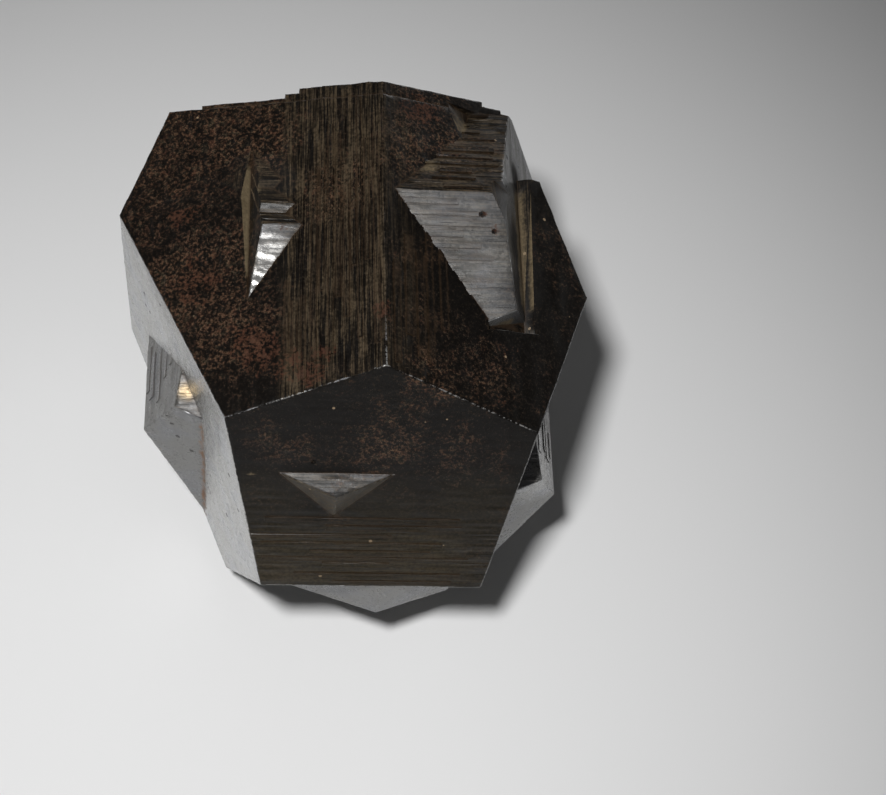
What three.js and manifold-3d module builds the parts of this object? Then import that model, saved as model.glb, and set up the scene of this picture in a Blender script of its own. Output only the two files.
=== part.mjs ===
import * as THREE from "three";
import Module from "manifold-3d";

// Pyrite cluster: two pyritohedral crystals that grew through one another.
// The first crystal has its roof edge front to back on top. The twin is turned
// a quarter turn about the vertical, so its roof edge runs left to right.
// Millimetres, +Z up, -Y to the front, +X to the right.
// Reach is the distance from the crossing of the crystal axes to a face.

const SLANT = 22;
const REST_DEPTH = 17.6;
const BURIED_REACH = 12;
const SKIN_COLOR = 0x2a1d15;
const SKIN_ROUGHNESS = 0.42;
const SKIN_METALNESS = 0.25;

// How far a growth layer and a lobe's end stand back from the edges they meet
const LAYER_INSET = 0.12;
const STEP_INSET = 0.04;
const END_SETBACK = 0.05;

// Far enough out to be clear of the whole cluster
const CLEAR = 40;

// Pits in the skin
const PIT_DEPTH = 0.3;
const PIT_SIDES = 6;
const PIT_LIFT = 0.4;

// Growth ledges: their spread is drawn from this seed, the same each time.
const LEDGE_SEED = 7;
const CHANCE_STEP = 16807;
const CHANCE_RANGE = 2147483647;
const LEDGE_SHARE_LOW = 0.25;
const LEDGE_SHARE_SPREAD = 0.4;
const LEDGE_END_SPREAD = 0.4;

const wasm = await Module();
wasm.setup();

const SIDES = {
  left: new THREE.Vector3(-1, 0, 0),
  right: new THREE.Vector3(1, 0, 0),
  front: new THREE.Vector3(0, -1, 0),
  back: new THREE.Vector3(0, 1, 0),
  top: new THREE.Vector3(0, 0, 1),
  foot: new THREE.Vector3(0, 0, -1),
};

// One crystal face: it looks to the first side and leans a slant to the second.
function face(side, lean, reach, slant = SLANT) {
  const angle = THREE.MathUtils.degToRad(slant);
  const normal = SIDES[side].clone().multiplyScalar(Math.cos(angle));
  normal.addScaledVector(SIDES[lean], Math.sin(angle));
  return { side, lean, normal, reach };
}

// The same face, placed by a point it passes through and turned in its plane.
function faceThrough(side, lean, point, slant = SLANT, skew = 0, skewSide = "back") {
  const turned = face(side, lean, 0, slant);
  turned.normal.addScaledVector(SIDES[skewSide], Math.tan(THREE.MathUtils.degToRad(skew)));
  turned.normal.normalize();
  turned.reach = turned.normal.dot(new THREE.Vector3(...point));
  return turned;
}

// A square limit that ends a growth layer at one coordinate.
function limit(side, reach) {
  return { side, lean: side, normal: SIDES[side].clone(), reach };
}

// The other side of a face, for what is cut away above it.
function opposite(f) {
  return { side: "none", lean: "none", normal: f.normal.clone().negate(), reach: -f.reach };
}

function cornerOf(a, b, c) {
  const bc = b.normal.clone().cross(c.normal);
  const volume = a.normal.dot(bc);
  if (Math.abs(volume) < 1e-6) return null;
  const corner = bc.multiplyScalar(a.reach);
  corner.addScaledVector(c.normal.clone().cross(a.normal), b.reach);
  corner.addScaledVector(a.normal.clone().cross(b.normal), c.reach);
  return corner.divideScalar(volume);
}

// Corners are where three faces meet inside all the others.
function cornersOf(faces) {
  const corners = [];
  for (let i = 0; i < faces.length; i += 1) {
    for (let j = i + 1; j < faces.length; j += 1) {
      for (let k = j + 1; k < faces.length; k += 1) {
        const corner = cornerOf(faces[i], faces[j], faces[k]);
        if (!corner) continue;
        if (faces.some((f) => f.normal.dot(corner) > f.reach + 1e-5)) continue;
        if (corners.some((known) => known.distanceTo(corner) < 1e-4)) continue;
        corners.push(corner);
      }
    }
  }
  return corners;
}

// Each face is the fan of its corners, in order round the face's normal.
function polyhedron(faces) {
  const corners = cornersOf(faces);
  const indices = [];
  for (const { normal, reach } of faces) {
    const ring = [];
    corners.forEach((corner, index) => {
      if (Math.abs(normal.dot(corner) - reach) < 1e-4) ring.push(index);
    });
    if (ring.length < 3) continue;
    const middle = new THREE.Vector3();
    ring.forEach((index) => middle.addScaledVector(corners[index], 1 / ring.length));
    const across = corners[ring[0]].clone().sub(middle).normalize();
    const up = normal.clone().cross(across);
    const bearing = (index) => {
      const arm = corners[index].clone().sub(middle);
      return Math.atan2(arm.dot(up), arm.dot(across));
    };
    ring.sort((a, b) => bearing(a) - bearing(b));
    for (let i = 1; i + 1 < ring.length; i += 1) indices.push(ring[0], ring[i], ring[i + 1]);
  }
  return new wasm.Manifold(new wasm.Mesh({
    numProp: 3,
    vertProperties: new Float32Array(corners.flatMap((corner) => corner.toArray())),
    triVerts: new Uint32Array(indices),
  }));
}

// A pit is a small funnel let into a face, round or drawn out along the lean.
function pit(f, point, radius, length = radius) {
  const up = SIDES[f.lean].clone().addScaledVector(f.normal, -f.normal.dot(SIDES[f.lean])).normalize();
  const across = up.clone().cross(f.normal);
  const apex = new THREE.Vector3(...point);
  apex.addScaledVector(f.normal, f.reach - PIT_DEPTH - f.normal.dot(apex));
  const walls = [{ normal: f.normal, reach: f.reach + PIT_LIFT }];
  for (let i = 0; i < PIT_SIDES; i += 1) {
    const angle = (2 * Math.PI * i) / PIT_SIDES;
    const spread = Math.hypot(radius * Math.cos(angle), length * Math.sin(angle));
    const normal = across.clone().multiplyScalar(Math.cos(angle)).addScaledVector(up, Math.sin(angle));
    normal.multiplyScalar(PIT_DEPTH).addScaledVector(f.normal, -spread).normalize();
    walls.push({ normal, reach: normal.dot(apex) });
  }
  return walls;
}

const TWIN_HABIT = [
  ["top", "front"], ["top", "back"], ["foot", "front"], ["foot", "back"],
  ["left", "top"], ["left", "foot"], ["right", "top"], ["right", "foot"],
  ["front", "left"], ["front", "right"], ["back", "left"], ["back", "right"],
];

// A lobe is a piece of the twin crystal that stands out of the main crystal.
// The faces it doesn't list lie buried in the mass.
function lobe(shown) {
  const faces = [...shown];
  for (const [side, lean] of TWIN_HABIT) {
    if (shown.some((f) => f.side === side && f.lean === lean)) continue;
    faces.push(face(side, lean, BURIED_REACH));
  }
  return faces;
}

// Main crystal
const FRONT_TOP = face("front", "top", 20.6);
const LEFT_FRONT = face("left", "front", 15.2, 24.3);
const MAIN = [
  face("top", "left", 18.96, 23.7),
  face("top", "right", 19.95, 26.1),
  FRONT_TOP,
  face("front", "foot", 19.85, 26),
  face("back", "top", 16.75, 20.3),
  face("back", "foot", 18.0),
  LEFT_FRONT,
  face("left", "back", 18.4, 21.6),
  face("right", "front", 18.05, 21),
  face("right", "back", 16.0, 21.4),
  face("foot", "left", 15.9, 40),
  face("foot", "right", 16.6),
];

// A growth layer is the crystal again, a little larger on one face. Its other
// faces are drawn in, so each layer ends in a low step before the edge.
function layer(crystal, side, lean, rise, limits, inset = LAYER_INSET) {
  const faces = crystal.map((f) => {
    const grows = f.side === side && f.lean === lean;
    return { ...f, reach: grows ? f.reach + rise : f.reach - inset };
  });
  return [...faces, ...limits];
}

let drawn = LEDGE_SEED;
function chance() {
  drawn = (drawn * CHANCE_STEP) % CHANCE_RANGE;
  return drawn / CHANCE_RANGE;
}

// Growth ledges are narrow plates of one more layer. All those of a face run
// the same way, along its roof edge, so that a band of them looks striped.
function ledges(crystal, side, lean, count, rise, band, run) {
  const pitch = (band.to - band.from) / count;
  const length = run.to - run.from;
  const plates = [];
  for (let i = 0; i < count; i += 1) {
    const low = band.from + (i + (1 - LEDGE_SHARE_LOW - LEDGE_SHARE_SPREAD) * chance()) * pitch;
    const high = low + (LEDGE_SHARE_LOW + LEDGE_SHARE_SPREAD * chance()) * pitch;
    plates.push(polyhedron(layer(crystal, side, lean, rise * (0.5 + 0.5 * chance()), [
      limit(band.low, -low),
      limit(band.high, high),
      limit(run.low, -(run.from + LEDGE_END_SPREAD * length * chance())),
      limit(run.high, run.to - LEDGE_END_SPREAD * length * chance()),
    ])));
  }
  return plates;
}
const alongX = (from, to) => ({ low: "left", high: "right", from, to });
const alongY = (from, to) => ({ low: "front", high: "back", from, to });
const alongZ = (from, to) => ({ low: "foot", high: "top", from, to });

// Growth steps along the back edge of the top, widest and lowest first
const BACK_STEPS = [
  { left: -12.2, right: 12.4, rise: 0.33 },
  { left: -5.7, right: 11.6, rise: 0.7 },
  { left: -4.6, right: 10.0, rise: 1.12 },
];

// Raised left part of the top, which ends in a narrow bank along the notch
const BANK_PEAK = [-8.9, 2.8, 17.5];
const BANK_FOOT = [-8.2, 0, 17.1];
const HILLOCK = [
  ...MAIN.filter((f) => !(f.side === "top" && f.lean === "left")).map((f) => ({ ...f, reach: f.reach - LAYER_INSET })),
  faceThrough("top", "left", BANK_PEAK, 27.5, 4.3, "front"),
  faceThrough("top", "left", BANK_PEAK, 27.5, 8.4, "back"),
  faceThrough("top", "right", BANK_FOOT, 30),
];

// Small crystal beyond the groove at the right, parallel to the main one
const GROOVE_BANK = faceThrough("top", "left", [13.05, 0, 15.35], 35);
const FLANK_BACK = faceThrough("back", "top", [13.9, 6.6, 15.4], 20);
const FLANK = [
  ...MAIN.filter((f) => !(f.side === "top" && f.lean === "right")),
  faceThrough("top", "right", [18.29, -2.75, 13.25], 27.5, 1.7, "front"),
  GROOVE_BANK,
  FLANK_BACK,
];

// Groove between that crystal and the end of the twin's top right lobe
const TWIN_END = face("right", "top", 17.62, 22.1);
const GROOVE = [
  opposite(GROOVE_BANK),
  opposite(face("top", "right", 19.2, 26.1)),
  opposite(faceThrough("back", "top", [11.4, -7.85, 16.63])),
  limit("left", -9.65),
  limit("right", 14.5),
  limit("back", 7.5),
  limit("top", CLEAR),
];
const BACK_CORNER = [
  opposite(TWIN_END),
  opposite(FLANK_BACK),
  limit("foot", -5),
  limit("right", CLEAR),
  limit("back", CLEAR),
  limit("top", CLEAR),
];

// Twin lobes on top
const TWIN_TOP_FRONT = face("top", "front", 18.96, 21.4);
const TWIN_TOP_BACK = face("top", "back", 20.07, 21.9);
const TOP_RIGHT_LOBE = lobe([
  TWIN_TOP_FRONT,
  TWIN_TOP_BACK,
  TWIN_END,
  face("right", "foot", 16.8),
  face("back", "right", 16.0, 21.1),
  face("front", "right", 10.6),
  face("left", "top", 7.1),
  face("back", "top", 16.85, 20.3),
  face("right", "front", 18.1, 21),
]);

// Pocket at the back, where the twin's slope runs on under the main crystal
const POCKET = [
  opposite(TWIN_TOP_BACK),
  opposite(faceThrough("right", "top", [7.2, 10.5, 18.7], 47.6, 7)),
  opposite(faceThrough("front", "top", [8, 11.4, 17], 0)),
  limit("front", -8.5),
  limit("right", 14),
  limit("top", CLEAR),
];

// Chip broken off the right end of the twin's roof edge
const CHIP = [
  opposite(faceThrough("right", "top", [9.9, 1.4, 20.9], 40, 8)),
  limit("left", 0),
  limit("front", 1),
  limit("back", 3),
  limit("right", 14),
  limit("top", CLEAR),
];

// The top left lobe has three roof edges behind one another.
const TOP_LEFT_END = faceThrough("left", "top", [-8.2, -6, 17.12], 28.6);
const TOP_LEFT_RIDGES = [
  { y: -0.5, z: 18.81, front: 17.2, back: 22 },
  { y: 1.5, z: 18.55, front: 22, back: 22 },
  { y: 3.9, z: 18.15, front: 22, back: 17.4 },
];
const TOP_LEFT_LOBES = TOP_LEFT_RIDGES.map(({ y, z, front, back }, index) => lobe([
  faceThrough("top", "front", [0, y, z], front),
  faceThrough("top", "back", [0, y, z], back),
  { ...TOP_LEFT_END, reach: TOP_LEFT_END.reach - index * END_SETBACK },
]));

// Twin lobes round the sides and under the cluster
const RIGHT_LOBE = lobe([
  face("right", "top", 15.84, 22.1),
  face("right", "foot", 16.75, 21.7),
  face("top", "front", 8.51, 21.9),
  face("front", "right", 19.0, 22.1),
  face("foot", "front", 17.4),
  face("back", "right", 8.0),
  face("left", "top", 4),
  face("left", "foot", 4),
]);
const LEFT_LOBE_TOP = face("left", "top", 15.67, 22.5);
const LEFT_LOBE_FRONT = face("front", "left", 15.0, 22.3);
const LEFT_LOBE = lobe([
  LEFT_LOBE_TOP,
  face("left", "foot", 14.6, 21.6),
  face("top", "front", 11.49, 21.9),
  LEFT_LOBE_FRONT,
  face("foot", "front", 15.4),
  face("back", "left", 8.0),
  face("right", "top", 4),
  face("right", "foot", 4),
]);
const FRONT_LOBE = lobe([
  face("top", "front", 17.3),
  face("front", "left", 18.38, 21.4),
  face("front", "right", 17.38, 21.8),
  face("foot", "front", 8.0),
  face("left", "top", 9.5),
  face("left", "foot", 7),
  face("right", "top", 9.5),
  face("right", "foot", 7),
]);
const LOW_FRONT_EDGE = [2.9, -22.14, 0.15];
const LOW_FRONT_LOBE = lobe([
  faceThrough("front", "left", LOW_FRONT_EDGE, 21.5),
  faceThrough("front", "right", LOW_FRONT_EDGE, 21.5),
  faceThrough("top", "front", LOW_FRONT_EDGE),
  faceThrough("foot", "front", [2.9, -22.14, -6.2]),
  face("left", "top", 7.5),
  face("left", "foot", 8.2),
  face("right", "top", 11),
  face("right", "foot", 11),
]);
const BACK_LOBE = lobe([
  face("back", "left", 18.6),
  face("back", "right", 18.0),
  face("top", "back", 15.2),
  face("foot", "back", 15.8),
]);
const LEFT_BACK_LOBE = lobe([
  face("left", "top", 16.7),
  face("left", "foot", 16.2),
  face("top", "back", 12.2),
  face("back", "left", 17.4),
  face("foot", "back", 13.4),
  face("front", "left", 4),
  face("right", "top", 4),
  face("right", "foot", 4),
]);
const FOOT_LOBE = lobe([
  face("foot", "front", 17.1),
  face("foot", "back", 17.1),
  face("left", "foot", 14.2),
  face("right", "foot", 15.2),
  face("front", "left", 9),
  face("front", "right", 9.5),
]);

// Ledges of the faces in view, then of those at the back and underneath
const LEDGES = [
  ...ledges(MAIN, "top", "left", 9, 0.17, alongX(-3.6, 1.3), alongY(-14.5, 12)),
  ...ledges(MAIN, "top", "left", 3, 0.12, alongX(-5.6, -3.7), alongY(-15, -5)),
  ...ledges(MAIN, "top", "right", 5, 0.1, alongX(2.2, 6.5), alongY(-14.5, 1)),
  ...ledges(MAIN, "front", "top", 9, 0.1, alongZ(0.4, 7.4), alongX(-8.5, 10)),
  ...ledges(MAIN, "back", "top", 8, 0.14, alongZ(1, 15), alongX(-13, 11)),
  ...ledges(MAIN, "back", "foot", 6, 0.14, alongZ(-13, -1), alongX(-9, 9)),
  ...ledges(MAIN, "front", "foot", 6, 0.12, alongZ(-14, -7), alongX(-8, 10)),
  ...ledges(MAIN, "left", "back", 5, 0.1, alongY(3.5, 13), alongZ(-8, 12)),
  ...ledges(MAIN, "right", "front", 5, 0.1, alongY(-14, -4), alongZ(-10, 12)),
  ...ledges(MAIN, "right", "back", 5, 0.1, alongY(1, 12), alongZ(-10, 9)),
  ...ledges(TOP_RIGHT_LOBE, "top", "front", 10, 0.07, alongY(-6.6, 1.2), alongX(2.5, 10)),
  ...ledges(TOP_RIGHT_LOBE, "top", "back", 10, 0.12, alongY(2, 10.6), alongX(4, 11)),
  ...ledges(LEFT_LOBE, "left", "top", 5, 0.09, alongZ(1.4, 8), alongY(-8.6, -2)),
  ...ledges(RIGHT_LOBE, "right", "top", 4, 0.09, alongZ(-0.8, 4.2), alongY(-13, -6)),
  ...ledges(LEFT_BACK_LOBE, "left", "top", 4, 0.09, alongZ(1, 7), alongY(4, 11)),
];

// Pits in the worn skin of the side faces and the roof faces
const PITS = [
  pit(TWIN_TOP_FRONT, [9.1, 0, 20.4], 0.25),
  pit(TWIN_TOP_FRONT, [10, -1.2, 19.9], 0.2),
  pit(TWIN_END, [11.6, 6.7, 18.3], 0.15, 0.3),
  pit(LEFT_FRONT, [-16.4, -0.6, 8], 0.14),
  pit(LEFT_FRONT, [-16.3, -0.8, 6.5], 0.14),
  pit(LEFT_FRONT, [-14.8, -4, 12.2], 0.14),
  pit(LEFT_FRONT, [-15.9, -1.6, 6.8], 0.14),
  pit(LEFT_FRONT, [-10.9, -12.7, -3.5], 0.18),
  pit(LEFT_FRONT, [-9.4, -16, -0.4], 0.2),
  pit(LEFT_FRONT, [-9.3, -16.4, 8.3], 0.16),
  pit(LEFT_FRONT, [-8.5, -18, 5.4], 0.18),
  pit(LEFT_LOBE_TOP, [-15.2, -5.7, 4.2], 0.16),
  pit(LEFT_LOBE_FRONT, [-15.4, -9.9, 3.8], 0.16),
  pit(LEFT_LOBE_FRONT, [-14.2, -10.4, 5.9], 0.18),
  pit(LEFT_LOBE_FRONT, [-13.9, -10.5, 4.8], 0.18),
  pit(LEFT_LOBE_FRONT, [-13.5, -10.7, 2.8], 0.2),
  pit(LEFT_LOBE_FRONT, [-12.4, -11.1, 1.1], 0.2),
  pit(FRONT_TOP, [-3.1, -17.1, 12.6], 0.2),
];

// Solid of the whole cluster
const unite = (solids) => solids.reduce((whole, solid) => whole.add(solid));
const backSteps = BACK_STEPS.map(({ left, right, rise }) => polyhedron(
  layer(MAIN, "back", "top", rise, [limit("left", -left), limit("right", right)], STEP_INSET),
));
const host = unite([polyhedron(MAIN), ...backSteps, polyhedron(HILLOCK)])
  .subtract(unite([GROOVE, BACK_CORNER, POCKET].map(polyhedron)));
const lobes = [
  TOP_RIGHT_LOBE,
  ...TOP_LEFT_LOBES,
  RIGHT_LOBE,
  LEFT_LOBE,
  FRONT_LOBE,
  LOW_FRONT_LOBE,
  BACK_LOBE,
  LEFT_BACK_LOBE,
  FOOT_LOBE,
].map(polyhedron);
const underRest = polyhedron([
  limit("top", -REST_DEPTH),
  limit("foot", CLEAR),
  limit("left", CLEAR),
  limit("right", CLEAR),
  limit("front", CLEAR),
  limit("back", CLEAR),
]);
const cluster = unite([host, polyhedron(FLANK), ...lobes, ...LEDGES])
  .subtract(unite([underRest, polyhedron(CHIP), ...PITS.map(polyhedron)]));

function meshGeometry(solid) {
  const mesh = solid.getMesh();
  const geometry = new THREE.BufferGeometry();
  const positions = new Float32Array(mesh.vertProperties);
  for (let i = 2; i < positions.length; i += 3) positions[i] += REST_DEPTH;
  geometry.setAttribute("position", new THREE.BufferAttribute(positions, 3));
  geometry.setIndex(new THREE.BufferAttribute(new Uint32Array(mesh.triVerts), 1));
  geometry.computeVertexNormals();
  return geometry;
}

const skin = new THREE.MeshStandardMaterial({
  color: SKIN_COLOR,
  roughness: SKIN_ROUGHNESS,
  metalness: SKIN_METALNESS,
});
const crystal = new THREE.Mesh(meshGeometry(cluster), skin);
crystal.name = "pyrite_twin";

const group = new THREE.Group();
group.name = "pyrite_cluster";
group.add(crystal);

export default group;
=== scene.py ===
# %% [markdown]
# # A twinned pyrite crystal, from its solid to its skin
#
# The object is one lump: two pyrite crystals that grew through one another, and
# the smaller tips of each that stand out of the other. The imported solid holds
# the true size and every flat face. Blender adds what a hand lens shows: the
# fine growth stripes, the worn edges and the brown skin that old pyrite gets.
#
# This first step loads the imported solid. It is a fixed frame: the finished
# crystal is built beside it, in the same place, and takes its place at the end.

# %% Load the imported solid
import math
import random

import bmesh
import bpy
import numpy as np
from mathutils import Matrix, Vector


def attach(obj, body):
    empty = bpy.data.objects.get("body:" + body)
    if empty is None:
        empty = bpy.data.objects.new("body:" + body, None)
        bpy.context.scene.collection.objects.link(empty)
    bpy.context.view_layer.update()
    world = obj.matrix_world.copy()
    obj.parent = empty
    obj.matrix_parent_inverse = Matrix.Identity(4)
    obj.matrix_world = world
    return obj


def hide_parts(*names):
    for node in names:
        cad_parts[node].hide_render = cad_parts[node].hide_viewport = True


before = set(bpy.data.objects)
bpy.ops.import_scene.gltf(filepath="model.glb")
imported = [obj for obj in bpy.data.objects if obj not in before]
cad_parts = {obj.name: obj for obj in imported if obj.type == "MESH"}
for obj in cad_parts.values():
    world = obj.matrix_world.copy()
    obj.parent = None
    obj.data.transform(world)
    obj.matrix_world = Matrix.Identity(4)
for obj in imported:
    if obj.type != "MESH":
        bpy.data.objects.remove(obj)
bpy.context.view_layer.update()
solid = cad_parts["pyrite_twin"]
MM = 0.001

# %% [markdown]
# ## Flat faces again
#
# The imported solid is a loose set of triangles. A crystal face is one flat
# polygon, so the copy is merged at its corners and the triangles of each face
# are joined. From here on all lengths are in millimetres, which keeps the
# numbers readable; the mesh goes back to metres when it is done.

# %% Join the triangles of each crystal face
MERGE_DISTANCE = 0.002
FLAT_ANGLE = math.radians(0.4)

body = bmesh.new()
body.from_mesh(solid.data)
bmesh.ops.scale(body, vec=(1 / MM, 1 / MM, 1 / MM), verts=body.verts)
bmesh.ops.remove_doubles(body, verts=body.verts, dist=MERGE_DISTANCE)
bmesh.ops.dissolve_limit(
    body, angle_limit=FLAT_ANGLE, verts=body.verts, edges=body.edges
)
body.normal_update()
print("flat polygons:", len(body.faces), "corners:", len(body.verts))
print("open edges:", sum(not e.is_manifold for e in body.edges))

# %% [markdown]
# ## Which way each face is striped
#
# Pyrite grows in thin layers, and the layers end in steps that run parallel to
# the edge where a face meets its partner, like the ridge of a roof. A face
# therefore has one direction of stripes. In the main crystal the pairs are
# top with left or right, front or back with top or foot, and left or right with
# front or back. In its twin, turned a quarter turn, the pairs are swapped.
#
# A face looks to one side and leans to another. The stripes run along the
# third axis. Faces that fit no pair are broken or cut ones and get no stripes.

# %% Name the habit faces
AXIS = {"x": Vector((1, 0, 0)), "y": Vector((0, 1, 0)), "z": Vector((0, 0, 1))}
SLANT = math.radians(22)
FIT_ANGLE = math.radians(9)
MAIN_PAIRS = [("z", "x"), ("y", "z"), ("x", "y")]
TWIN_PAIRS = [("z", "y"), ("x", "z"), ("y", "x")]

habit = []
for crystal, pairs in (("main", MAIN_PAIRS), ("twin", TWIN_PAIRS)):
    for side, lean in pairs:
        roof = ({"x", "y", "z"} - {side, lean}).pop()
        for side_sign in (1, -1):
            for lean_sign in (1, -1):
                normal = AXIS[side] * side_sign * math.cos(SLANT)
                normal += AXIS[lean] * lean_sign * math.sin(SLANT)
                habit.append({
                    "crystal": crystal,
                    "side": side if side_sign > 0 else "-" + side,
                    "lean": lean if lean_sign > 0 else "-" + lean,
                    "normal": normal,
                    "along": AXIS[roof],
                })


def habit_of(normal):
    """The number of the habit face that this normal belongs to, or -1."""
    best = max(range(len(habit)), key=lambda i: habit[i]["normal"].dot(normal))
    return best if habit[best]["normal"].angle(normal) < FIT_ANGLE else -1


def habit_number(crystal, side, lean):
    return next(
        i for i, h in enumerate(habit)
        if (h["crystal"], h["side"], h["lean"]) == (crystal, side, lean)
    )


# %% Give each flat face its kind and its plane
SAME_ANGLE = 0.01
SAME_REACH = 0.02

kind_layer = body.faces.layers.int.new("kind")
plane_layer = body.faces.layers.int.new("plane")
planes = []
for face in body.faces:
    reach = face.calc_center_median().dot(face.normal)
    face[kind_layer] = habit_of(face.normal)
    found = next((
        i for i, (normal, far) in enumerate(planes)
        if normal.angle(face.normal) < SAME_ANGLE and abs(far - reach) < SAME_REACH
    ), None)
    if found is None:
        found = len(planes)
        planes.append((face.normal.copy(), reach))
    face[plane_layer] = found
print("planes:", len(planes), "broken faces:", sum(f[kind_layer] < 0 for f in body.faces))

# %% [markdown]
# ## A narrow band along the worn edges
#
# No real edge is a perfect line: handling wears it round. The wear is only
# about a tenth of a millimetre wide, too thin for the wide polygons here, so
# the large faces first get a cut beside each long sharp edge that two of them
# share. The corners on the edge can then sink a little without bending the
# face. A bevel would do the same on a plain block, but here many tiny ledges
# meet the long edges, and plain cuts never fold over one another.
#
# Ledges and broken faces get no band, because they are hardly wider than one.
# Inner edges are only listed: dirt and rust gather along them later.

# %% A cut through some of the faces
CUT_MARGIN = 1e-4


def cut(faces, place, direction):
    """Cut these faces by a plane; return all the pieces."""
    geometry = set(faces)
    for face in faces:
        geometry.update(face.edges)
        geometry.update(face.verts)
    result = bmesh.ops.bisect_plane(
        body, geom=list(geometry), dist=CUT_MARGIN, plane_co=place, plane_no=direction
    )
    return [g for g in result["geom"] if isinstance(g, bmesh.types.BMFace)]


# %% Find the edges and cut the bands
BAND_WIDTH = 0.11
BAND_EDGE_LENGTH = 1.2
INNER_ANGLE = math.radians(12)
WORN_ANGLE = math.radians(28)
WORN_AREA = 2.0

worn_edges = []
inner_edges = []
band_cuts = []
for edge in body.edges:
    angle = edge.calc_face_angle_signed(0)
    ends = np.array([edge.verts[0].co, edge.verts[1].co])
    if angle < -INNER_ANGLE:
        inner_edges.append(ends)
    beside = edge.link_faces
    if angle < WORN_ANGLE or min(f.calc_area() for f in beside) < WORN_AREA:
        continue
    if any(f[kind_layer] < 0 for f in beside):
        continue
    worn_edges.append(ends)
    if edge.calc_length() < BAND_EDGE_LENGTH:
        continue
    for loop in edge.link_loops:
        line = loop.link_loop_next.vert.co - loop.vert.co
        inward = loop.face.normal.cross(line).normalized()
        place = loop.vert.co + inward * BAND_WIDTH
        band_cuts.append((loop.face[plane_layer], place, inward))

plane_faces = {}
for face in body.faces:
    plane_faces.setdefault(face[plane_layer], []).append(face)
for plane, place, inward in band_cuts:
    plane_faces[plane] = cut(plane_faces[plane], place, inward)
bmesh.ops.triangulate(body, faces=body.faces)
print("worn edges:", len(worn_edges), "inner edges:", len(inner_edges))
print("bands:", len(band_cuts))

# %% [markdown]
# ## Room for the stripes
#
# The stripes are steps: flat treads of uneven width with steep risers between
# them. Two cuts close together make room for each riser. Cuts the other way,
# more widely spaced, let a stripe rise, fade and end along its length.
#
# There are thousands of cuts, and a mesh tool that handles one cut at a time
# would take minutes. The triangles here are flat and simple, so plain Python
# does it in seconds: first every edge gets its new corners, from the stripes on
# both its sides, and then each triangle is split at those same corners. Because
# neighbours share the corners, the skin stays closed.

# %% Choose the treads and risers of every habit face
TREAD_WIDTHS = {"wide": (0.34, 0.95), "fine": (0.15, 0.46)}
RISER_WIDTH = 0.035
PIECE_LENGTHS = (0.42, 0.98)
TREAD_SEED = 20
rng = random.Random(TREAD_SEED)


def spread(low, high, widths):
    """Uneven places from low to high."""
    places = [low + rng.uniform(*widths)]
    while places[-1] + widths[1] < high:
        places.append(places[-1] + rng.uniform(*widths))
    return places


FINE_KINDS = {
    habit_number("main", "z", "-x"),
    habit_number("twin", "z", "y"),
    habit_number("twin", "z", "-y"),
    habit_number("main", "-y", "z"),
}
for kind, entry in enumerate(habit):
    corners = [v.co for f in body.faces if f[kind_layer] == kind for v in f.verts]
    entry["across"] = entry["normal"].cross(entry["along"]).normalized()
    if not corners:
        continue
    across = [co.dot(entry["across"]) for co in corners]
    along = [co.dot(entry["along"]) for co in corners]
    widths = TREAD_WIDTHS["fine" if kind in FINE_KINDS else "wide"]
    entry["treads"] = spread(min(across), max(across), widths)
    risers = sorted(
        tread + side for tread in entry["treads"] for side in (-RISER_WIDTH / 2, RISER_WIDTH / 2)
    )
    entry["cuts"] = [
        (np.array(entry["across"]), risers),
        (np.array(entry["along"]), spread(min(along), max(along), PIECE_LENGTHS)),
    ]
print("treads in all:", sum(len(h.get("treads", [])) for h in habit))

# %% Split one ring of corners
ON_CUT = 1e-6


def mix(a, b, share):
    return tuple(p + (q - p) * share for p, q in zip(a, b))


def height(point, direction):
    return point[0] * direction[0] + point[1] * direction[1] + point[2] * direction[2]


def split(ring, direction, places):
    """Split one convex ring of corners at all places, halving the list each time."""
    heights = [height(p, direction) for p in ring]
    low, high = min(heights) + ON_CUT, max(heights) - ON_CUT
    places = [p for p in places if low < p < high]
    if not places:
        return [ring]
    place = places[len(places) // 2]
    below, above = [], []
    for i, point in enumerate(ring):
        here, after = heights[i] - place, heights[(i + 1) % len(ring)] - place
        if here < ON_CUT:
            below.append(point)
        if here > -ON_CUT:
            above.append(point)
        if min(here, after) < -ON_CUT and max(here, after) > ON_CUT:
            new = mix(point, ring[(i + 1) % len(ring)], here / (here - after))
            below.append(new)
            above.append(new)
    return split(below, direction, places) + split(above, direction, places)


# %% Find the corners on an edge that two faces share
def corners_between(start, end, kinds):
    """The corners that the stripes of both faces put on the edge they share."""
    shares = []
    for kind in kinds:
        for direction, places in habit[kind]["cuts"]:
            low, high = height(start, direction), height(end, direction)
            if abs(high - low) > ON_CUT:
                shares += [(p - low) / (high - low) for p in places]
    step = ON_CUT / math.dist(start, end)
    chain = [0]
    for share in sorted(shares):
        if chain[-1] + step < share < 1 - step:
            chain.append(share)
    return [mix(start, end, share) for share in chain[1:]]


# %% Split the triangles into treads and risers
DECIMALS = 5

edge_corners = {}
for edge in body.edges:
    ends = tuple(sorted(tuple(v.co) for v in edge.verts))
    kinds = {f[kind_layer] for f in edge.link_faces} - {-1}
    edge_corners[ends] = corners_between(*ends, kinds)

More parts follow.
